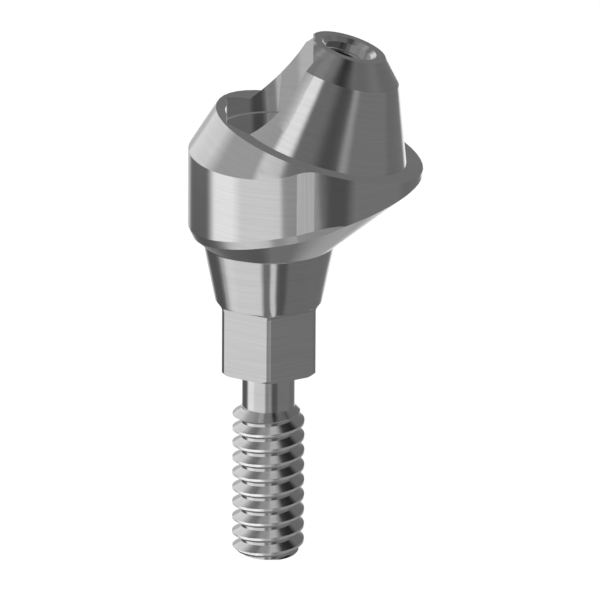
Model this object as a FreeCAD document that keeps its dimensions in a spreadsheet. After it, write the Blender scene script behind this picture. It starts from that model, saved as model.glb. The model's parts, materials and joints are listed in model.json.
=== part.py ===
import FreeCAD, Part
import math
import os
import Sketcher

# An angled dental abutment and the screw that ties it down into an implant.
# Z is the implant's axis, and the origin lies on it where the connection cone meets the
# flare of the collar. The head leans towards +X. All lengths are millimetres, angles degrees.

doc = FreeCAD.newDocument("dental_abutment")

# Driving dimensions: name, value, meaning
SIZES = [
    # Stem that sits in the implant
    ("ConeTopRadius", 1.459, "connection cone where it meets the flare"),
    ("ConeAngle", 11.3, "connection cone, from its axis"),
    ("HexAcross", 2.07, "antirotation hexagon across its flats"),
    ("HexCornerRadius", 1.168, "rounded corners of the hexagon"),
    ("HexEnd", 2.95, "end of the hexagon below the origin"),
    ("HexLedge", 1.324, "ledge that ends the flats, below the origin"),
    ("HexFillet", 0.11, "between the ledge and the flats"),
    ("HexBreak", 0.06, "turned break at the end of the hexagon"),
    # Collar
    ("FlareAngle", 40.3, "underside of the collar, above level"),
    ("FlareFillet", 0.08, "between the connection cone and the flare"),
    ("CollarRadius", 2.4, "both round ends of the collar wall"),
    ("CollarLow", 0.603, "axis of the low round end, from the implant's axis"),
    ("CollarHigh", 0.988, "axis of the high round end, from the implant's axis"),
    ("CollarBreak", 0.125, "chamfer under the low end and the sides"),
    # Head, about its own leaning axis
    ("HeadTilt", 17.0, "lean of the head"),
    ("TiltDrop", 1.16, "where the two axes cross, below the origin"),
    ("ShoulderRise", 3.77, "shoulder plane, from the crossing along the head"),
    ("ShoulderRadius", 2.4, "outer edge of the shoulder"),
    ("BevelAngle", 15.0, "skirt below the shoulder's edge, from the head axis"),
    ("HeadBaseRadius", 2.0, "foot of the head cone"),
    ("HeadEdgeRadius", 1.30, "edge between the head's two cones"),
    ("HeadEdgeRise", 1.70, "that edge above the shoulder"),
    ("HeadTopRadius", 0.842, "flat top"),
    ("HeadRise", 2.19, "flat top above the shoulder"),
    # Threaded hole for the crown's screw, in the flat top
    ("CrownMouthRadius", 0.626, "mouth of the chamfered lead-in"),
    ("CrownBoreRadius", 0.53, "bore that carries the thread"),
    ("CrownBoreDepth", 0.95, "full depth of that bore"),
    ("DrillAngle", 59.0, "half the point angle of the drill"),
    # Channel for the screw and its driver, along the implant's axis
    ("ChannelRadius", 1.265, "round sides of the channel's mouth"),
    ("ChannelDeepRadius", 1.15, "round sides below the step"),
    ("ChannelWidth", 1.90, "between the flat sides of the channel"),
    ("ChannelStep", 2.60, "step in the round sides, above the origin"),
    ("ChannelFloor", 1.62, "floor of the wide channel"),
    ("HeadBoreRadius", 0.99, "bore that the screw's head turns in"),
    ("PassageRadius", 0.84, "bore that the screw's shank passes"),
    ("SeatRise", 0.10, "foot of the conical seat, above the origin"),
    # Screw
    ("HeadClearance", 0.04, "between the screw's head and its bore, on the radius"),
    ("PilotClearance", 0.04, "between the screw's pilot and the passage, on the radius"),
    ("SeatClearance", 0.02, "between the screw's cone and the seat, along the axis"),
    ("ScrewHeadRise", 1.35, "top of the screw's head, above the origin"),
    ("ScrewHeadBreak", 0.08, "chamfer round the top of the head"),
    ("SocketAcross", 1.25, "driver socket across its flats"),
    ("SocketDepth", 0.80, "depth of the socket"),
    ("PilotEnd", 0.55, "end of the pilot, below the origin"),
    ("ShankRadius", 0.588, "plain shank"),
    ("ThreadRadius", 0.80, "outside of the thread"),
    ("ThreadRootRadius", 0.60, "bottom of the thread"),
    ("ThreadPitch", 0.35, "one turn of the thread"),
    ("ThreadCrest", 0.055, "flat width of the crests"),
    ("ThreadFlank", 30.0, "flanks, from square to the axis"),
    ("ThreadStart", 3.84, "end of the plain shank, below the origin"),
    ("ThreadPhase", 7.542, "a groove's height on the +X side, below the origin"),
    ("ScrewEnd", 7.31, "end of the screw, below the origin"),
    ("TipRadius", 0.64, "flat end of the screw"),
    # Making
    ("Overrun", 0.5, "what the blank and the cutters reach past the finished part"),
]

sheet = doc.addObject("Spreadsheet::Sheet", "Sizes")
for row, (alias, value, meaning) in enumerate(SIZES, start=1):
    sheet.set("A%d" % row, meaning)
    sheet.set("B%d" % row, str(value))
    sheet.setAlias("B%d" % row, alias)

# Heights and lengths that follow from them
DERIVED = [
    ("ConeLength", "(ConeTopRadius - HexCornerRadius) / tan(ConeAngle)"),
    ("FlareTangent", "FlareFillet * tan((90 - ConeAngle - FlareAngle) / 2)"),
    ("CollarReach", "CollarHigh + CollarRadius + Overrun"),
    ("BlankTop", "(ShoulderRise + HeadRise) * cos(HeadTilt) - TiltDrop + 2 * Overrun"),
    ("SeatTop", "SeatRise + HeadBoreRadius - PassageRadius"),
    ("ScrewHeadRadius", "HeadBoreRadius - HeadClearance"),
    ("PilotRadius", "PassageRadius - PilotClearance"),
    ("ScrewConeFoot", "SeatRise + SeatClearance + PilotRadius - PassageRadius"),
    ("ScrewConeTop", "SeatRise + SeatClearance + ScrewHeadRadius - PassageRadius"),
    ("GrooveOuterRadius", "ThreadRadius + ThreadCrest / 2"),
    ("GrooveRootWidth",
     "ThreadPitch - ThreadCrest - 2 * (ThreadRadius - ThreadRootRadius) * tan(ThreadFlank)"),
    ("GrooveMouthWidth",
     "GrooveRootWidth + 2 * (GrooveOuterRadius - ThreadRootRadius) * tan(ThreadFlank)"),
    ("ThreadTurns", "ceil((ThreadPhase - ThreadStart) / ThreadPitch) + 1"),
]
for row, (alias, words) in enumerate(DERIVED, start=len(SIZES) + 1):
    sheet.set("A%d" % row, words)
    sheet.set("B%d" % row, "=" + words)
    sheet.setAlias("B%d" % row, alias)
doc.recompute()


def formula(words):
    """Puts the sheet's name before each of its values in a formula."""
    parts = []
    word = ""
    for letter in words + " ":
        if letter.isalnum():
            word += letter
            continue
        known = sheet.getCellFromAlias(word) if word[:1].isupper() else None
        parts.append("Sizes." + word if known else word)
        parts.append(letter)
        word = ""
    return "".join(parts).strip()


def origin_plane(body, role):
    for item in body.Origin.OriginFeatures:
        if item.Role == role:
            return item


def new_sketch(body, name, role, height=None):
    """A sketch on one of the body's planes, lifted along the plane's normal by a formula."""
    sketch = body.newObject("Sketcher::SketchObject", name)
    sketch.AttachmentSupport = [(origin_plane(body, role), "")]
    sketch.MapMode = "FlatFace"
    if height:
        sketch.setExpression("AttachmentOffset.Base.z", formula(height))
    doc.recompute()
    return sketch


def leaning_sketch(body, name):
    """A sketch in the XZ plane whose V axis is the head's axis, from the shoulder up."""
    sketch = new_sketch(body, name, "XZ_Plane")
    towards_x = FreeCAD.Rotation(FreeCAD.Vector(0, 0, -1), 1)
    sketch.AttachmentOffset = FreeCAD.Placement(FreeCAD.Vector(), towards_x)
    sketch.setExpression("AttachmentOffset.Base.x", formula("ShoulderRise * sin(HeadTilt)"))
    sketch.setExpression("AttachmentOffset.Base.y", formula("ShoulderRise * cos(HeadTilt) - TiltDrop"))
    sketch.setExpression("AttachmentOffset.Rotation.Angle", formula("HeadTilt"))
    doc.recompute()
    return sketch


def arc_between(start, end, radius, turn):
    """The shorter arc from start to end; turn is 1 for anticlockwise and -1 for clockwise."""
    middle = (start + end) * 0.5
    half = (end - start) * 0.5
    rise = math.sqrt(max(radius ** 2 - half.Length ** 2, 0.0))
    centre = middle + FreeCAD.Vector(-half.y, half.x, 0).normalize() * rise * turn
    first, last = (start, end) if turn > 0 else (end, start)
    first_angle = math.atan2(first.y - centre.y, first.x - centre.x)
    last_angle = math.atan2(last.y - centre.y, last.x - centre.x)
    circle = Part.Circle(centre, FreeCAD.Vector(0, 0, 1), radius)
    return Part.ArcOfCircle(circle, first_angle, last_angle)


def draw(sketch, corners, arcs=None):
    """A closed outline. Corners are pairs of formulas. Arcs go from a side's number to its
    radius and turn; a side runs from the corner of its own number to the next."""
    arcs = arcs or {}
    points = []
    for across, up in corners:
        x = sketch.evalExpression(formula(across))
        y = sketch.evalExpression(formula(up))
        points.append(FreeCAD.Vector(float(x), float(y), 0))
    count = len(points)
    first_side = sketch.GeometryCount
    starts = []
    ends = []
    for side in range(count):
        start = points[side]
        end = points[(side + 1) % count]
        number = first_side + side
        if side in arcs:
            radius, turn = arcs[side]
            size = float(sketch.evalExpression(formula(radius)))
            sketch.addGeometry(arc_between(start, end, size, turn))
            starts.append((number, 1 if turn > 0 else 2))
            ends.append((number, 2 if turn > 0 else 1))
        else:
            sketch.addGeometry(Part.LineSegment(start, end))
            starts.append((number, 1))
            ends.append((number, 2))
    for side in range(count):
        following = (side + 1) % count
        sketch.addConstraint(Sketcher.Constraint("Coincident", *ends[side], *starts[following]))
    for side, (across, up) in enumerate(corners):
        at_x = sketch.addConstraint(Sketcher.Constraint("DistanceX", *starts[side], points[side].x))
        at_y = sketch.addConstraint(Sketcher.Constraint("DistanceY", *starts[side], points[side].y))
        sketch.setExpression("Constraints[%d]" % at_x, formula(across))
        sketch.setExpression("Constraints[%d]" % at_y, formula(up))
        if side in arcs:
            radius = arcs[side][0]
            size = float(sketch.evalExpression(formula(radius)))
            held = sketch.addConstraint(Sketcher.Constraint("Radius", starts[side][0], size))
            sketch.setExpression("Constraints[%d]" % held, formula(radius))
    doc.recompute()


def turned(body, kind, name, sketch):
    """A full turn of the sketch about its own V axis, added or cut."""
    feature = body.newObject("PartDesign::" + kind, name)
    feature.Profile = sketch
    feature.ReferenceAxis = (sketch, ["V_Axis"])
    feature.Angle = 360
    doc.recompute()
    return feature


def milled(body, name, sketch, length, upward=False, both_ways=False):
    """A straight cut from the sketch, over the length that a formula gives."""
    feature = body.newObject("PartDesign::Pocket", name)
    feature.Profile = sketch
    feature.SideType = "Symmetric" if both_ways else "One side"
    feature.Reversed = upward
    feature.setExpression("Length", formula(length))
    doc.recompute()
    return feature


def require_cut(body, before, name):
    """Stops if a cut has taken nothing away."""
    if body.Shape.Volume >= before - 1e-6:
        raise RuntimeError(name + " cuts nothing")
    return body.Shape.Volume


# Abutment: turned stem and blank

abutment = doc.addObject("PartDesign::Body", "abutment_body")
abutment.Label = "abutment_body"

blank_outline = new_sketch(abutment, "blank_outline", "XZ_Plane")
draw(blank_outline, [
    ("0", "-HexEnd"),
    ("HexCornerRadius - HexBreak", "-HexEnd"),
    ("HexCornerRadius", "-HexEnd + HexBreak"),
    ("HexCornerRadius", "-ConeLength"),
    ("ConeTopRadius - FlareTangent * sin(ConeAngle)", "-FlareTangent * cos(ConeAngle)"),
    ("ConeTopRadius + FlareTangent * cos(FlareAngle)", "FlareTangent * sin(FlareAngle)"),
    ("CollarReach", "(CollarReach - ConeTopRadius) * tan(FlareAngle)"),
    ("CollarReach", "BlankTop"),
    ("0", "BlankTop"),
], arcs={4: ("FlareFillet", -1)})
turned(abutment, "Revolution", "turned_blank", blank_outline)
volume = abutment.Shape.Volume

# Hexagon: one flat that ends in a filleted ledge, repeated round the axis
flat_outline = new_sketch(abutment, "flat_outline", "XZ_Plane")
draw(flat_outline, [
    ("HexAcross / 2", "-HexEnd - Overrun"),
    ("ConeTopRadius", "-HexEnd - Overrun"),
    ("ConeTopRadius", "-HexLedge"),
    ("HexAcross / 2 + HexFillet", "-HexLedge"),
    ("HexAcross / 2", "-HexLedge - HexFillet"),
], arcs={3: ("HexFillet", 1)})
flat_cut = milled(abutment, "flat_cut", flat_outline, "4 * HexCornerRadius", both_ways=True)
volume = require_cut(abutment, volume, "flat_cut")
hexagon = abutment.newObject("PartDesign::PolarPattern", "hexagon")
hexagon.Originals = [flat_cut]
hexagon.Axis = (flat_outline, ["V_Axis"])
hexagon.Angle = 360
hexagon.Occurrences = 6
abutment.Tip = hexagon
doc.recompute()
volume = require_cut(abutment, volume, "hexagon")

# Collar wall: the low round end and the straight sides are milled and broken first
low_wall = new_sketch(abutment, "low_wall", "XY_Plane")
draw(low_wall, [
    ("CollarReach + Overrun", "CollarRadius"),
    ("CollarLow", "CollarRadius"),
    ("CollarLow - CollarRadius", "0"),
    ("CollarLow", "-CollarRadius"),
    ("CollarReach + Overrun", "-CollarRadius"),
    ("CollarReach + Overrun", "-CollarReach - Overrun"),
    ("-CollarReach - Overrun", "-CollarReach - Overrun"),
    ("-CollarReach - Overrun", "CollarReach + Overrun"),
    ("CollarReach + Overrun", "CollarReach + Overrun"),
], arcs={1: ("CollarRadius", 1), 2: ("CollarRadius", 1)})
low_wall_cut = milled(abutment, "low_wall_cut", low_wall, "BlankTop + Overrun", upward=True)
volume = require_cut(abutment, volume, "low_wall_cut")


def under_low_wall(edge):
    """True for an edge between the flare and the low end's wall or its straight sides."""
    reach = sheet.CollarRadius
    slope = math.tan(math.radians(sheet.FlareAngle))
    for share in (0.1, 0.5, 0.9):
        low, high = edge.ParameterRange
        point = edge.valueAt(low + share * (high - low))
        flare = (math.hypot(point.x, point.y) - sheet.ConeTopRadius) * slope
        if point.x < sheet.CollarLow:
            wall = math.hypot(point.x - sheet.CollarLow, point.y)
        else:
            wall = abs(point.y)
        if abs(point.z - flare) > 1e-3 or abs(wall - reach) > 1e-3:
            return False
    return True


broken_edges = []
for number, edge in enumerate(low_wall_cut.Shape.Edges, start=1):
    if under_low_wall(edge):
        broken_edges.append("Edge%d" % number)
collar_break = abutment.newObject("PartDesign::Chamfer", "collar_break")
collar_break.Base = (low_wall_cut, broken_edges)
collar_break.setExpression("Size", formula("CollarBreak"))
doc.recompute()
volume = require_cut(abutment, volume, "collar_break")

# The high round end comes after, so the break fades out where this end turns away from it
high_wall = new_sketch(abutment, "high_wall", "XY_Plane")
draw(high_wall, [
    ("CollarHigh", "CollarRadius + Overrun"),
    ("CollarHigh", "CollarRadius"),
    ("CollarHigh + CollarRadius", "0"),
    ("CollarHigh", "-CollarRadius"),
    ("CollarHigh", "-CollarRadius - Overrun"),
    ("CollarReach + Overrun", "-CollarRadius - Overrun"),
    ("CollarReach + Overrun", "CollarRadius + Overrun"),
], arcs={1: ("CollarRadius", -1), 2: ("CollarRadius", -1)})
milled(abutment, "high_wall_cut", high_wall, "BlankTop + Overrun", upward=True)
volume = require_cut(abutment, volume, "high_wall_cut")

# Leaning head, shoulder and skirt, turned about the head's axis
SKIRT = "(ShoulderRise + HexEnd + CollarReach)"
OUTSIDE = "(2 * CollarReach + BlankTop)"
head_outline = leaning_sketch(abutment, "head_outline")
draw(head_outline, [
    ("ShoulderRadius", "0"),
    ("HeadBaseRadius", "0"),
    ("HeadEdgeRadius", "HeadEdgeRise"),
    ("HeadTopRadius", "HeadRise"),
    ("0", "HeadRise"),
    ("0", OUTSIDE),
    (OUTSIDE, OUTSIDE),
    (OUTSIDE, "-" + SKIRT),
    ("ShoulderRadius + " + SKIRT + " * tan(BevelAngle)", "-" + SKIRT),
])
turned(abutment, "Groove", "head_cut", head_outline)
volume = require_cut(abutment, volume, "head_cut")

# Threaded hole for the crown's screw, down from the flat top
crown_outline = leaning_sketch(abutment, "crown_outline")
draw(crown_outline, [
    ("0", "HeadRise"),
    ("CrownMouthRadius", "HeadRise"),
    ("CrownBoreRadius", "HeadRise - (CrownMouthRadius - CrownBoreRadius)"),
    ("CrownBoreRadius", "HeadRise - CrownBoreDepth"),
    ("0", "HeadRise - CrownBoreDepth - CrownBoreRadius / tan(DrillAngle)"),
])
turned(abutment, "Groove", "crown_hole", crown_outline)
volume = require_cut(abutment, volume, "crown_hole")


# Screw channel: a flat-sided mouth in two radii, then the head's bore, seat and passage
def channel_cut(name, radius, floor):
    side = "ChannelWidth / 2"
    corner = "sqrt(%s ^ 2 - (ChannelWidth / 2) ^ 2)" % radius
    sketch = new_sketch(abutment, name + "_outline", "XY_Plane", height=floor)
    draw(sketch, [
        (side, "-" + corner),
        (side, corner),
        ("-" + side, corner),
        ("-" + side, "-" + corner),
    ], arcs={1: (radius, 1), 3: (radius, 1)})
    milled(abutment, name, sketch, "BlankTop", upward=True)


channel_cut("channel_mouth", "ChannelRadius", "ChannelStep")
volume = require_cut(abutment, volume, "channel_mouth")
channel_cut("channel_deep", "ChannelDeepRadius", "ChannelFloor")
volume = require_cut(abutment, volume, "channel_deep")

bore_outline = new_sketch(abutment, "bore_outline", "XZ_Plane")
draw(bore_outline, [
    ("0", "-HexEnd - Overrun"),
    ("PassageRadius", "-HexEnd - Overrun"),
    ("PassageRadius", "SeatRise"),
    ("HeadBoreRadius", "SeatTop"),
    ("HeadBoreRadius", "BlankTop"),
    ("0", "BlankTop"),
])
turned(abutment, "Groove", "stepped_bore", bore_outline)
volume = require_cut(abutment, volume, "stepped_bore")

# Abutment screw

screw = doc.addObject("PartDesign::Body", "abutment_screw")
screw.Label = "abutment_screw"

screw_outline = new_sketch(screw, "screw_outline", "XZ_Plane")
draw(screw_outline, [
    ("0", "-ScrewEnd"),
    ("TipRadius", "-ScrewEnd"),
    ("ThreadRadius", "-ScrewEnd + ThreadRadius - TipRadius"),
    ("ThreadRadius", "-ThreadStart - (ThreadRadius - ShankRadius)"),
    ("ShankRadius", "-ThreadStart"),
    ("ShankRadius", "-PilotEnd - (PilotRadius - ShankRadius)"),
    ("PilotRadius", "-PilotEnd"),
    ("PilotRadius", "ScrewConeFoot"),
    ("ScrewHeadRadius", "ScrewConeTop"),
    ("ScrewHeadRadius", "ScrewHeadRise - ScrewHeadBreak"),
    ("ScrewHeadRadius - ScrewHeadBreak", "ScrewHeadRise"),
    ("0", "ScrewHeadRise"),
])
turned(screw, "Revolution", "turned_screw", screw_outline)
volume = screw.Shape.Volume

# Thread: one groove swept up a right-handed helix, past both chamfered ends
groove_outline = new_sketch(screw, "groove_outline", "XZ_Plane")
draw(groove_outline, [
    ("ThreadRootRadius", "-ThreadPhase - GrooveRootWidth / 2"),
    ("GrooveOuterRadius", "-ThreadPhase - GrooveMouthWidth / 2"),
    ("GrooveOuterRadius", "-ThreadPhase + GrooveMouthWidth / 2"),
    ("ThreadRootRadius", "-ThreadPhase + GrooveRootWidth / 2"),
])
thread = screw.newObject("PartDesign::SubtractiveHelix", "thread")
thread.Profile = groove_outline
thread.ReferenceAxis = (groove_outline, ["V_Axis"])
thread.Mode = "pitch-turns-angle"
thread.setExpression("Pitch", formula("ThreadPitch"))
thread.setExpression("Turns", formula("ThreadTurns"))
doc.recompute()
volume = require_cut(screw, volume, "thread")

# Hexagon socket for the driver, in the top of the head
socket_outline = new_sketch(screw, "socket_outline", "XY_Plane", height="ScrewHeadRise")
draw(socket_outline, [
    ("SocketAcross / 2", "-SocketAcross / 2 * tan(30)"),
    ("SocketAcross / 2", "SocketAcross / 2 * tan(30)"),
    ("0", "SocketAcross / 2 / cos(30)"),
    ("-SocketAcross / 2", "SocketAcross / 2 * tan(30)"),
    ("-SocketAcross / 2", "-SocketAcross / 2 * tan(30)"),
    ("0", "-SocketAcross / 2 / cos(30)"),
])
milled(screw, "socket", socket_outline, "SocketDepth")
volume = require_cut(screw, volume, "socket")

# Every object has to be sound before anything is written
for item in doc.Objects:
    if "Invalid" in item.State or "Error" in item.State:
        raise RuntimeError("%s failed: %s" % (item.Name, item.State))
for body in (abutment, screw):
    shape = body.Shape
    if shape.isNull() or not shape.isValid() or len(shape.Solids) != 1:
        raise RuntimeError(body.Label + " is not one valid solid")

os.makedirs("parts", exist_ok=True)
for body in (abutment, screw):
    body.Shape.exportStep(os.path.join("parts", body.Label + ".step"))
    box = body.Shape.optimalBoundingBox(True, False)
    print(body.Label, "volume %.4f mm3" % body.Shape.Volume, "faces", len(body.Shape.Faces), box)
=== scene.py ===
import json
import math

import bpy
from mathutils import Matrix, Vector


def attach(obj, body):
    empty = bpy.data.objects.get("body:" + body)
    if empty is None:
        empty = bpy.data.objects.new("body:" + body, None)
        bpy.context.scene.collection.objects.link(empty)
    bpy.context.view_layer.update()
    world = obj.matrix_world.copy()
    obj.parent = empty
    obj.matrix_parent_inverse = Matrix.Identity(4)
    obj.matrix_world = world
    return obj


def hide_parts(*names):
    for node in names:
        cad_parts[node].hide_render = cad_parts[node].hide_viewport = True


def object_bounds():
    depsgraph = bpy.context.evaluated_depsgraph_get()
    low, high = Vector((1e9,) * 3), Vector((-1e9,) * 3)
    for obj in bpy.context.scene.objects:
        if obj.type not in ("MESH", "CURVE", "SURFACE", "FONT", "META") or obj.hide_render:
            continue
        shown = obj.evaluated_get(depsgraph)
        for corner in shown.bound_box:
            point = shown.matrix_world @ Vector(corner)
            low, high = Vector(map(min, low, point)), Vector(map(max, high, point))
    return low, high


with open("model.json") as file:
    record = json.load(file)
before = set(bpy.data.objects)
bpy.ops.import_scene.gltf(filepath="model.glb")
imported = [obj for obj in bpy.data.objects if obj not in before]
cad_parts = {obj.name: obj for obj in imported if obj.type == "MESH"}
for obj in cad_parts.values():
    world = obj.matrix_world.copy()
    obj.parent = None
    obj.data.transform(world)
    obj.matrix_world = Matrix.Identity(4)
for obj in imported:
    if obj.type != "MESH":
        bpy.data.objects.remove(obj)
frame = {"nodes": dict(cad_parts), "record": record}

# A dental abutment with its screw: turned and milled titanium among soft boxes and flags.
# Metres throughout. The stem's axis is Z, and the head leans towards +X.

MM = 0.001
cad_low, cad_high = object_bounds()
mounts = {m["name"]: m for m in frame["record"]["mounts"]}
head_point = Vector(mounts["crown_screw_hole"]["pos_m"])
head_axis = Vector(mounts["crown_screw_hole"]["axis"]).normalized()
stem_axis = Vector((0, 0, 1))
body_mesh = frame["nodes"]["abutment_body"].data
screw_mesh = frame["nodes"]["abutment_screw"].data

# The crown's screw hole opens in the flat top, the body's furthest point along the head
head_rise = max((vertex.co - head_point).dot(head_axis) for vertex in body_mesh.vertices)
hole_mouth = head_point + head_axis * head_rise
hole_side = head_axis.cross(stem_axis).normalized()
hole_lean = hole_side.cross(head_axis)

# Camera: nearly parallel view, 20 degrees down, with the photograph's framing
IMAGE_PIXELS = 600
PIXELS_PER_MM = 45.25
ORIGIN_AT = (269.3, 241.2)
VIEW_DOWN = math.radians(20)
VIEW_ROLL = math.radians(0.3)
LENS = 1000
NEAR_SHARE = 0.05
FAR_SHARE = 3

# Bare titanium, and how finely its tool lines change across and along themselves
BARE = (0.42, 0.42, 0.42)
SHEEN = 0.16
LINES_ACROSS = 20000
LINES_ALONG = 600
LINES_DETAIL = 3

# Thread in the crown's screw hole, which starts under the chamfer at the hole's mouth
BORE_RADIUS = mounts["crown_screw_hole"]["dims"]["r_mm"] * MM
BORE_START = 0.096 * MM
GROOVE_PITCH = 0.2 * MM
GROOVE_DEPTH = 0.09 * MM
CREST_HALF = 0.025 * MM
CREST_START = 0.14 * MM
GROOVE_RUN_IN = math.radians(40)
GROOVE_RUN_OUT = 0.1 * MM
LINING_END = 0.72 * MM
LINING_GAP = 0.004 * MM
GROOVE_TURNS = 5
EDGES_A_TURN = 4
FIRST_EDGE = 2
RUN_IN_EDGES = 5

# Where the body's surfaces lie, which tells their metals apart, and so where shade or a highlight is
# painted
CHANNEL_REACH = 1.32 * MM
CHANNEL_LOW = 0.5 * MM
CHANNEL_ENDS = 0.951 * MM
CHANNEL_SIDE = 0.2 * MM
COLLAR_FLAT = 2.39 * MM
HOLE_LOW = 3 * MM
BORE_SLACK = 0.002 * MM
EDGE_SLACK = 0.01 * MM
BAND_SLACK = 0.001 * MM

# How far a normal may stray from what a kind of surface has
LEVEL = 0.01
UPRIGHT = 0.002
FACING = 0.9999
TURNED = 0.03
LOWEST_RISE = -0.2
ON_AXIS = 1e-6

# The screw's thread: its crests are rounded off in their normals and get a painted highlight
THREAD_PITCH = 0.35 * MM
THREAD_START = -7.542 * MM
CREST_RADIUS = 0.797 * MM
CREST_WIDTH = 0.055 * MM
CREST_TURN = (math.radians(-30), math.radians(10))
THREAD_TOP = -3.8 * MM

# Corners closer than this are one
WELD = 0.0001 * MM

# Studio: each card hangs a little nearer than the one before it
TENT_RADIUS = 60 * MM
CARD_STEP = 6
CARD_LAYER = 0.005
POLES = (-90, 90)

# Glow of the soft boxes, walls and flags
BRIGHT = 1.8
LIGHT = 1.35
SOFT = 0.7
GREY = 0.37
DIM = 0.3
DARK = 0.15
BLACK = 0

# Pale floor, far enough down to leave the object free
FLOOR_DROP = 110 * MM
FLOOR_REACH = 400 * MM
FLOOR_PAPER = (0.95, 0.95, 0.95, 1)
FLOOR_GLOW = 0.6
FLOOR_LIGHT = 1.1
WHITE = (1, 1, 1, 1)


def direction(azimuth, elevation=0):
    """Unit vector; azimuth 0 points to the camera's side and 90 to +X."""
    a = math.radians(azimuth)
    e = math.radians(elevation)
    return Vector((math.sin(a) * math.cos(e), -math.cos(a) * math.cos(e), math.sin(e)))


def add_camera():
    """The photograph's camera, with the stem's origin at its place in the picture."""
    data = bpy.data.cameras.new("camera")
    camera = bpy.data.objects.new("camera", data)
    bpy.context.scene.collection.objects.link(camera)
    width = IMAGE_PIXELS / PIXELS_PER_MM * MM
    distance = width * LENS / data.sensor_width
    forward = Vector((0, math.cos(VIEW_DOWN), -math.sin(VIEW_DOWN)))
    level = Vector((1, 0, 0))
    upward = level.cross(forward)
    right = level * math.cos(VIEW_ROLL) + upward * math.sin(VIEW_ROLL)
    up = upward * math.cos(VIEW_ROLL) - level * math.sin(VIEW_ROLL)
    middle = IMAGE_PIXELS / 2
    across = (middle - ORIGIN_AT[0]) / PIXELS_PER_MM * MM
    down = (middle - ORIGIN_AT[1]) / PIXELS_PER_MM * MM
    place = right * across - up * down - forward * distance
    turn = Matrix((right, up, -forward)).transposed().to_4x4()
    camera.matrix_world = Matrix.Translation(place) @ turn
    data.lens = LENS
    data.clip_start = distance * NEAR_SHARE
    data.clip_end = distance * FAR_SHARE
    bpy.context.scene.camera = camera


def node(tree, kind, **settings):
    """A new shader node with its settings."""
    made = tree.nodes.new(kind)
    for name, value in settings.items():
        setattr(made, name, value)
    return made


def tooled_titanium(name, point, axis, tone=1, lines=0.09, roughness=SHEEN, grain_along=False):
    """Bare titanium with fine tool lines round an axis through a point, or along that axis. A tone
    below 1 paints shade into its colour, and a tone above 1 paints a highlight.
    """
    material = bpy.data.materials.new(name)
    material.use_nodes = True
    tree = material.node_tree
    shader = tree.nodes["Principled BSDF"]
    link = tree.links.new

    place = node(tree, "ShaderNodeTexCoord")
    from_point = node(tree, "ShaderNodeVectorMath", operation="SUBTRACT")
    from_point.inputs[1].default_value = point
    link(place.outputs["Object"], from_point.inputs[0])

    around = node(tree, "ShaderNodeVectorMath", operation="CROSS_PRODUCT")
    around.inputs[0].default_value = axis
    link(from_point.outputs[0], around.inputs[1])
    if grain_along:
        link(around.outputs[0], shader.inputs["Tangent"])
    else:
        surface = node(tree, "ShaderNodeNewGeometry")
        sideways = node(tree, "ShaderNodeVectorMath", operation="CROSS_PRODUCT")
        link(surface.outputs["Normal"], sideways.inputs[0])
        link(around.outputs[0], sideways.inputs[1])
        link(sideways.outputs[0], shader.inputs["Tangent"])

    lathe = stem_axis.rotation_difference(axis).inverted().to_euler()
    upright = node(tree, "ShaderNodeVectorRotate", rotation_type="EULER_XYZ")
    upright.inputs["Rotation"].default_value = lathe
    link(from_point.outputs[0], upright.inputs["Vector"])
    stretch = node(tree, "ShaderNodeMapping")
    across = LINES_ACROSS if grain_along else LINES_ALONG
    along = LINES_ALONG if grain_along else LINES_ACROSS
    stretch.inputs["Scale"].default_value = (across, across, along)
    link(upright.outputs[0], stretch.inputs["Vector"])
    grain = node(tree, "ShaderNodeTexNoise")
    grain.inputs["Scale"].default_value = 1
    grain.inputs["Detail"].default_value = LINES_DETAIL
    link(stretch.outputs[0], grain.inputs["Vector"])

    # The tool lines vary the colour about the tone, which is painted shade below 1 and a painted
    # highlight above 1
    shade = node(tree, "ShaderNodeMapRange")
    shade.inputs["To Min"].default_value = tone * (1 - lines)
    shade.inputs["To Max"].default_value = tone * (1 + lines)
    link(grain.outputs["Fac"], shade.inputs["Value"])
    base = node(tree, "ShaderNodeVectorMath", operation="SCALE")
    base.inputs[0].default_value = BARE
    link(shade.outputs[0], base.inputs["Scale"])
    link(base.outputs[0], shader.inputs["Base Color"])

    shader.inputs["Metallic"].default_value = 1
    shader.inputs["Roughness"].default_value = roughness
    shader.inputs["Anisotropic"].default_value = 1
    return material


def light_card_material():
    """Gives off each card's own glow and lets what lies behind show through its soft edge."""
    material = bpy.data.materials.new("light_card")
    material.use_nodes = True
    material.cycles.emission_sampling = "NONE"
    tree = material.node_tree
    tree.nodes.remove(tree.nodes["Principled BSDF"])
    glow = node(tree, "ShaderNodeAttribute", attribute_name="glow")
    cover = node(tree, "ShaderNodeAttribute", attribute_name="cover")
    light = node(tree, "ShaderNodeEmission")
    clear = node(tree, "ShaderNodeBsdfTransparent")
    both = node(tree, "ShaderNodeMixShader")
    tree.links.new(glow.outputs["Fac"], light.inputs["Strength"])
    tree.links.new(cover.outputs["Fac"], both.inputs["Fac"])
    tree.links.new(clear.outputs[0], both.inputs[1])
    tree.links.new(light.outputs[0], both.inputs[2])
    tree.links.new(both.outputs[0], tree.nodes["Material Output"].inputs["Surface"])
    return material


def stations(low, high, soft, poles=()):
    """Angles from low to high in even steps, with a soft edge at both ends but none at a pole."""
    start = low if low in poles else low + soft
    end = high if high in poles else high - soft
    count = max(1, math.ceil((end - start) / CARD_STEP))
    angles = [start + (end - start) * step / count for step in range(count + 1)]
    covers = [1] * len(angles)
    if start > low:
        angles.insert(0, low)
        covers.insert(0, 0)
    if end < high:
        angles.append(high)
        covers.append(0)
    return angles, covers


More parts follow.
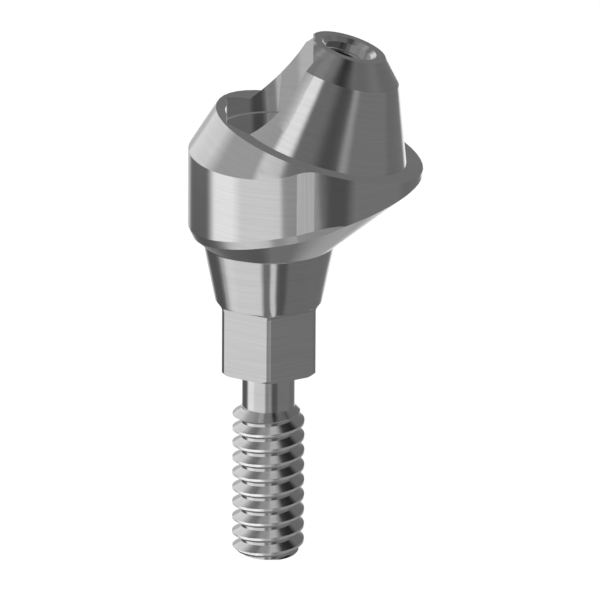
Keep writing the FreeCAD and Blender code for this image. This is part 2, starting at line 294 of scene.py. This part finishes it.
def light_card(name, around, upright, soft, glow, layer, material):
    """A curved card of one glow round the object, hidden from the camera."""
    azimuths, across = stations(around[0], around[1], soft)
    heights, up = stations(upright[0], upright[1], soft, POLES)
    radius = TENT_RADIUS * (1 - layer * CARD_LAYER)
    corners = []
    covers = []
    for azimuth, at_side in zip(azimuths, across):
        for height, at_end in zip(heights, up):
            corners.append(direction(azimuth, height) * radius)
            covers.append(min(at_side, at_end))
    rows = len(heights)
    faces = []
    for column in range(len(azimuths) - 1):
        for row in range(rows - 1):
            first = column * rows + row
            faces.append((first, first + rows, first + rows + 1, first + 1))
    mesh = bpy.data.meshes.new(name)
    mesh.from_pydata(corners, [], faces)
    mesh.attributes.new("cover", "FLOAT", "POINT").data.foreach_set("value", covers)
    mesh.attributes.new("glow", "FLOAT", "POINT").data.foreach_set("value", [glow] * len(corners))
    mesh.materials.append(material)
    card = bpy.data.objects.new(name, mesh)
    bpy.context.scene.collection.objects.link(card)
    card.visible_camera = False
    card.visible_shadow = False
    card.visible_diffuse = False


def add_floor():
    """A pale floor that glows in part where a ray meets it as background, and keeps some shadow."""
    reach = FLOOR_REACH
    level = cad_low.z - FLOOR_DROP
    mesh = bpy.data.meshes.new("floor")
    corners = [(x * reach, y * reach, level) for x, y in ((-1, -1), (1, -1), (1, 1), (-1, 1))]
    mesh.from_pydata(corners, [], [(0, 1, 2, 3)])
    floor = bpy.data.objects.new("floor", mesh)
    bpy.context.scene.collection.objects.link(floor)
    material = bpy.data.materials.new("floor")
    material.use_nodes = True
    tree = material.node_tree
    paper = tree.nodes["Principled BSDF"]
    paper.inputs["Base Color"].default_value = FLOOR_PAPER
    paper.inputs["Roughness"].default_value = 1
    glow = node(tree, "ShaderNodeEmission")
    both = node(tree, "ShaderNodeMixShader")
    share = node(tree, "ShaderNodeMath", operation="MULTIPLY")
    share.inputs[1].default_value = FLOOR_GLOW
    tree.links.new(background_rays(tree), share.inputs[0])
    tree.links.new(share.outputs[0], both.inputs["Fac"])
    tree.links.new(paper.outputs[0], both.inputs[1])
    tree.links.new(glow.outputs[0], both.inputs[2])
    tree.links.new(both.outputs[0], tree.nodes["Material Output"].inputs["Surface"])
    mesh.materials.append(material)


def background_rays(tree):
    """1 for rays that meet the white background: the camera's, mirrored and clear ones."""
    path = node(tree, "ShaderNodeLightPath")
    first = node(tree, "ShaderNodeMath", operation="MAXIMUM")
    tree.links.new(path.outputs["Is Camera Ray"], first.inputs[0])
    tree.links.new(path.outputs["Is Glossy Ray"], first.inputs[1])
    both = node(tree, "ShaderNodeMath", operation="MAXIMUM")
    tree.links.new(first.outputs[0], both.inputs[0])
    tree.links.new(path.outputs["Is Transmission Ray"], both.inputs[1])
    return both.outputs[0]


def add_world():
    """Light for the floor, and white where a ray meets the background."""
    world = bpy.data.worlds.new("studio")
    bpy.context.scene.world = world
    world.use_nodes = True
    world.cycles.sampling_method = "NONE"
    tree = world.node_tree
    fill = tree.nodes["Background"]
    fill.inputs["Color"].default_value = WHITE
    fill.inputs["Strength"].default_value = FLOOR_LIGHT
    white = node(tree, "ShaderNodeBackground")
    white.inputs["Color"].default_value = WHITE
    white.inputs["Strength"].default_value = 1
    both = node(tree, "ShaderNodeMixShader")
    tree.links.new(background_rays(tree), both.inputs["Fac"])
    tree.links.new(fill.outputs[0], both.inputs[1])
    tree.links.new(white.outputs[0], both.inputs[2])
    tree.links.new(both.outputs[0], tree.nodes["World Output"].inputs["Surface"])


def faces_of(mesh):
    """Each face as the places and the normals of its corners."""
    for face in mesh.polygons:
        places = [mesh.vertices[index].co.copy() for index in face.vertices]
        normals = [mesh.corner_normals[corner].vector.copy() for corner in face.loop_indices]
        yield places, normals


def leaning(places, normals):
    """True for a face that was turned about the head's axis."""
    for place, normal in zip(places, normals):
        around = head_axis.cross(place - head_point)
        if around.length > ON_AXIS and abs(normal.dot(around.normalized())) > TURNED:
            return False
    upright = all(abs(normal.z) < UPRIGHT for normal in normals)
    rise = sum(normal.z for normal in normals) / len(normals)
    return not upright and rise > LOWEST_RISE


def in_channel(places, normals):
    """True for the screw channel's milled walls that lie wholly above CHANNEL_LOW.

    A few long faces reach lower, and those have the stem's metal.
    """
    level = all(abs(normal.z) < LEVEL for normal in normals)
    inside = all(place.xy.length < CHANNEL_REACH and place.z > CHANNEL_LOW for place in places)
    return level and inside


def on_collar_flat(places, normals):
    """True for the two flats on the collar's sides."""
    sideways = all(abs(normal.y) > FACING for normal in normals)
    return sideways and all(abs(place.y) > COLLAR_FLAT for place in places)


def in_bore(places, normals):
    """True for the plain wall of the crown's screw hole."""
    for place, normal in zip(places, normals):
        reach = head_axis.cross(place - hole_mouth).length
        if abs(normal.dot(head_axis)) > LEVEL or abs(reach - BORE_RADIUS) > BORE_SLACK:
            return False
    return all(place.z > HOLE_LOW for place in places)


def bore_place(angle, depth, radius):
    """A point in the crown's screw hole; angle 0 points to -Y and 90 degrees to the -X side."""
    outward = hole_side * math.cos(angle) + hole_lean * math.sin(angle)
    return hole_mouth - head_axis * depth + outward * radius


def bore_angle_and_depth(place):
    """The angle and the depth of a point in the crown's screw hole."""
    reach = place - hole_mouth
    angle = math.atan2(reach.dot(hole_lean), reach.dot(hole_side)) % math.tau
    return angle, -reach.dot(head_axis)


def column(angle):
    """The hole's wall at one angle, from top to bottom: a plain band, then rows along the thread.

    A turn of the thread has four edges, and the thread begins at the lower edge of a crest. The
    first groove starts from nothing, and all of them run out at the lining's end.
    """
    root_edge = CREST_HALF + GROOVE_DEPTH / math.sqrt(3)
    edges = (-root_edge, -CREST_HALF, CREST_HALF, root_edge)
    cuts = (GROOVE_DEPTH, 0, 0, GROOVE_DEPTH)
    rows = [(-math.inf, BORE_START, BORE_RADIUS)]
    for turn in range(GROOVE_TURNS):
        for order, (edge, cut) in enumerate(zip(edges, cuts)):
            depth = CREST_START + GROOVE_PITCH * (turn + angle / math.tau) + edge
            key = turn * EDGES_A_TURN + order
            if key < FIRST_EDGE or depth > LINING_END - LINING_GAP:
                continue
            start = min(angle / GROOVE_RUN_IN, 1) if key < RUN_IN_EDGES else 1
            end = min((LINING_END - depth) / GROOVE_RUN_OUT, 1)
            rows.append((key, depth, BORE_RADIUS + cut * start * end))
    rows.append((math.inf, LINING_END, BORE_RADIUS))
    return rows


def thread_lining(wall):
    """The threaded wall between the edges of the plain one: its corners and its faces."""
    marks = sorted({tuple(round(v, 9) for v in bore_angle_and_depth(place)) for place in wall})
    upper = [mark for mark in marks if mark[1] < BORE_START + EDGE_SLACK]
    lower = [mark for mark in marks if mark[1] >= BORE_START + EDGE_SLACK]
    corners = []
    columns = []
    for angle, _ in upper:
        rows = []
        for key, depth, radius in column(angle):
            rows.append((key, len(corners)))
            corners.append(bore_place(angle, depth, radius))
        columns.append(rows)
    closing = [(key - EDGES_A_TURN, index) for key, index in columns[0]]
    faces = []
    for left, right in zip(columns, columns[1:] + [closing]):
        faces += joined(left, right)
    bottom = [(angle, rows[-1][1]) for (angle, _), rows in zip(upper, columns)]
    edge = []
    for angle, depth in lower:
        edge.append((angle, len(corners)))
        corners.append(bore_place(angle, depth, BORE_RADIUS))
    for ring in (bottom, edge):
        ring.append((ring[0][0] + math.tau, ring[0][1]))
    faces += joined(bottom, edge)
    return corners, faces


def joined(first, second):
    """Triangles between two lines of corners, each given as (order, corner)."""
    faces = []
    i = j = 0
    while i < len(first) - 1 or j < len(second) - 1:
        if j == len(second) - 1:
            onward = 0
        elif i == len(first) - 1:
            onward = 1
        else:
            onward = 0 if first[i + 1][0] <= second[j + 1][0] else 1
        if onward == 0:
            faces.append((first[i][1], second[j][1], first[i + 1][1]))
            i += 1
        else:
            faces.append((first[i][1], second[j][1], second[j + 1][1]))
            j += 1
    return faces


def bore_normals(places):
    """Corner normals of a face in the bore: its own slope, but round about the bore's axis."""
    flat = (places[1] - places[0]).cross(places[2] - places[0])
    middle = sum(places, Vector((0, 0, 0))) / len(places)
    inwards = []
    for place in [middle] + places:
        reach = hole_mouth - place
        inwards.append((reach - head_axis * reach.dot(head_axis)).normalized())
    inward = flat.dot(inwards[0])
    along = flat.dot(head_axis)
    if inward < 0:
        inward = -inward
        along = -along
    return [(outward * inward + head_axis * along).normalized() for outward in inwards[1:]]


def body_metal(places, normals):
    """The name of the metal that a face of the body has: the channel's and the bores' metals carry
    painted shade, and the flats' metal a painted highlight.
    """
    middle = sum(place.x for place in places) / len(places)
    if in_channel(places, normals):
        if abs(middle) > CHANNEL_ENDS:
            return "bore"
        return "channel side" if middle > CHANNEL_SIDE else "channel"
    if on_collar_flat(places, normals):
        return "flat"
    return "head" if leaning(places, normals) else "stem"


def body_faces(mesh):
    """The body's faces with their metals; the plain wall of the crown's hole gets its thread."""
    faces = []
    wall = []
    for places, normals in faces_of(mesh):
        if in_bore(places, normals):
            wall += places
        else:
            faces.append((body_metal(places, normals), places, normals))
    corners, lining = thread_lining(wall)
    for face in lining:
        places = [corners[index] for index in face]
        normals = bore_normals(places)
        if (places[1] - places[0]).cross(places[2] - places[0]).dot(normals[0]) < 0:
            places.reverse()
            normals.reverse()
        highest = min(bore_angle_and_depth(place)[1] for place in places)
        metal = "hole band" if highest < BORE_START + BAND_SLACK else "bore"
        faces.append((metal, places, normals))
    return faces


def crest_normal(place):
    """The normal on a crest of the screw's thread, which is rounded over."""
    outward = Vector((place.x, place.y, 0)).normalized()
    turn = (place.z - THREAD_START) / THREAD_PITCH - math.atan2(place.y, place.x) / math.tau
    height = (turn % 1 - 0.5) * THREAD_PITCH / CREST_WIDTH + 0.5
    tilt = CREST_TURN[0] + (CREST_TURN[1] - CREST_TURN[0]) * height
    return outward * math.cos(tilt) + stem_axis * math.sin(tilt)


def screw_faces(mesh):
    """The screw's faces with their metals; the crests of its thread are rounded over and get a painted
    highlight.
    """
    faces = []
    for places, normals in faces_of(mesh):
        if all(place.xy.length > CREST_RADIUS and place.z < THREAD_TOP for place in places):
            faces.append(("crest", places, [crest_normal(place) for place in places]))
        else:
            faces.append(("screw", places, normals))
    return faces


def finished_piece(name, faces, metals):
    """One mesh from faces, each with its metal's name and its corners' places and normals."""
    corner_at = {}
    corners = []
    sides = []
    slots = []
    corner_normals = []
    names = list(metals)
    for metal, places, normals in faces:
        side = []
        for place in places:
            key = tuple(round(value / WELD) for value in place)
            if key not in corner_at:
                corner_at[key] = len(corners)
                corners.append(place)
            side.append(corner_at[key])
        if len(set(side)) == len(side):
            sides.append(side)
            slots.append(names.index(metal))
            corner_normals += normals
    mesh = bpy.data.meshes.new(name)
    mesh.from_pydata(corners, [], sides)
    for metal in metals.values():
        mesh.materials.append(metal)
    mesh.polygons.foreach_set("material_index", slots)
    mesh.shade_smooth()
    mesh.normals_split_custom_set(corner_normals)
    piece = bpy.data.objects.new(name, mesh)
    bpy.context.scene.collection.objects.link(piece)
    piece.visible_glossy = False
    return piece


add_camera()
add_world()
add_floor()

# Studio for bare metal: soft boxes, walls and flags hung in a dim tent. Each has its azimuth
# range, height range and soft edge in degrees, and its glow. Later ones hang in front.
STUDIO = [
    ("tent", (-180, 180), (-90, 90), 0, DIM),
    ("top", (-180, 180), (60, 90), 8, GREY),
    ("top_left", (-190, -95), (60, 90), 8, SOFT),
    ("left_flag", (-160, -108), (-90, -8), 10, DARK),
    ("left_wall", (-125, -20), (-8, 62), 10, SOFT),
    ("left_box", (-180, -96), (-16, 50), 18, LIGHT),
    ("key_box", (-102, -10), (-76, 6), 8, LIGHT),
    ("key_box_hot", (-108, -60), (-36, 10), 12, BRIGHT),
    ("key_box_high", (-54, -20), (20, 62), 8, BRIGHT),
    ("right_wall", (34, 108), (-36, 40), 10, GREY),
    ("front", (-16, 10), (-26, 12), 6, SOFT),
    ("right_flag", (4, 44), (-30, 58), 10, DARK),
    ("right_strip", (33, 49), (2, 54), 6, SOFT),
    ("high_flag", (22, 56), (40, 80), 8, BLACK),
    ("low_strip", (0, 17), (-60, -26), 5, LIGHT),
    ("low_flag", (16, 40), (-64, -26), 6, DARK),
    ("bottom", (-30, 70), (-90, -54), 8, SOFT),
    ("back_box", (148, 184), (-36, 0), 10, LIGHT),
    ("back_left_box", (-186, -150), (-30, 8), 8, SOFT),
    ("top_box", (130, 205), (66, 88), 6, LIGHT),
    ("back_flag", (90, 152), (40, 80), 10, BLACK),
    ("under_box", (138, 172), (-62, -32), 10, SOFT),
    ("under_flag", (178, 215), (-80, -40), 8, DARK),
]
glowing = light_card_material()
for layer, (name, around, upright, soft, glow) in enumerate(STUDIO):
    light_card(name, around, upright, soft, glow, layer, glowing)

origin = Vector((0, 0, 0))
body_metals = {
    "stem": tooled_titanium("titanium_stem", origin, stem_axis),
    "head": tooled_titanium("titanium_head", head_point, head_axis),
    # The channel's walls: titanium darkened to 0.75, and to 0.58 on the +X side, as painted shade
    # inside the channel
    "channel": tooled_titanium("painted_shade_channel_titanium", origin, stem_axis, tone=0.75),
    "channel side": tooled_titanium("painted_shade_channel_side_titanium", origin, stem_axis, tone=0.58),
    # The collar's flats: titanium 1.5 times as bright, a painted highlight; their tool lines run along
    # the axis
    "flat": tooled_titanium("painted_highlight_flat_titanium", origin, stem_axis, tone=1.5, lines=0.12, grain_along=True),
    # The plain band at the top of the crown's hole wall: titanium darkened to 0.4, painted shade inside
    # the hole
    "hole band": tooled_titanium("painted_shade_hole_band_titanium", head_point, head_axis, tone=0.4),
    # The crown hole's threaded wall and the channel's round ends: titanium darkened to 0.35, painted
    # shade inside the bores
    "bore": tooled_titanium("painted_shade_bore_titanium", head_point, head_axis, tone=0.35),
}
body = finished_piece("abutment", body_faces(body_mesh), body_metals)
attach(body, "abutment")
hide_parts("abutment_body")

screw_metals = {
    "screw": tooled_titanium("titanium_screw", origin, stem_axis),
    # The thread's crests: titanium 2.2 times as bright and rougher, a painted highlight along the
    # crests
    "crest": tooled_titanium("painted_highlight_crest_titanium", origin, stem_axis, tone=2.2, roughness=0.45),
}
screw = finished_piece("screw", screw_faces(screw_mesh), screw_metals)
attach(screw, "screw")
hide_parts("abutment_screw")

scene = bpy.context.scene
scene.view_settings.view_transform = "Standard"
